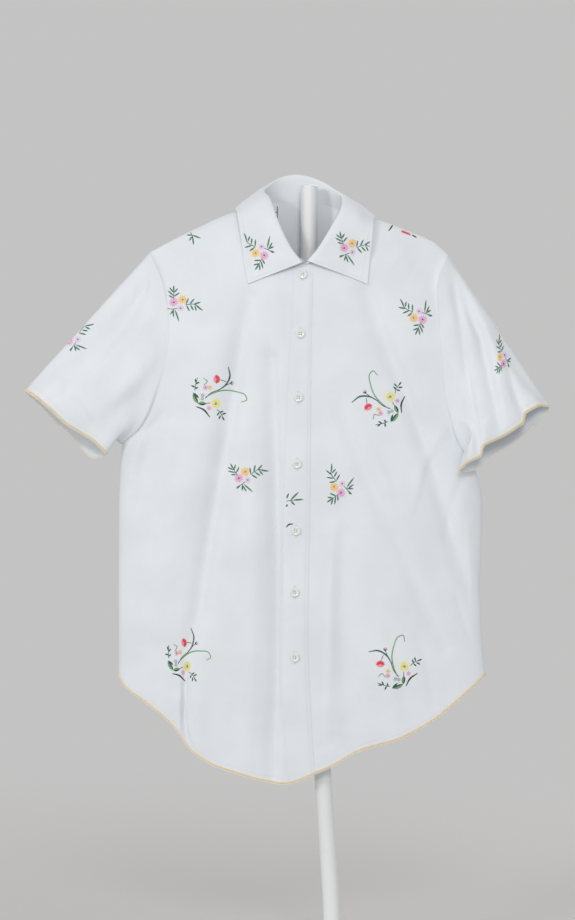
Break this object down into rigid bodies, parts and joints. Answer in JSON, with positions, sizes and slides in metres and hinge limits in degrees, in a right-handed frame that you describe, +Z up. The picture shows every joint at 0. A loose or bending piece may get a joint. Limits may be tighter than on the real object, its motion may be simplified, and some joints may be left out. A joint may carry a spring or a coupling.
{
  "type": "short-sleeve shirt on a display stand",
  "caption": "Collared short-sleeve cotton shirt with flower embroidery, buttoned down the front and hung on a T-shaped display stand with a round base.",
  "frame": {"origin": "middle of the flat underside of the stand's base", "axes": "+Z up, -Y the front of the shirt, +X the viewer's right when the front is seen"},
  "size_m": [0.6812, 0.26, 1.0177],
  "materials": {
    "cloth": "white plain-weave cotton with satin-stitch flower embroidery",
    "edging": "yellow looped picot edging",
    "buttons": "pearly white, sewn on through four holes",
    "stand": "smooth satin white paint"
  },
  "bodies": {
    "root": {"front_left": "cloth", "front_right": "cloth", "back": "cloth", "collar": "cloth", "sleeve_left": "cloth", "sleeve_right": "cloth", "placket": "cloth", "cuff_edging_left": "edging", "cuff_edging_right": "edging", "hem_edging": "edging", "button_1": "buttons", "button_2": "buttons", "button_3": "buttons", "button_4": "buttons", "button_5": "buttons", "button_6": "buttons", "button_7": "buttons", "stand_pole": "stand", "stand_base": "stand"}
  },
  "joints": []
}
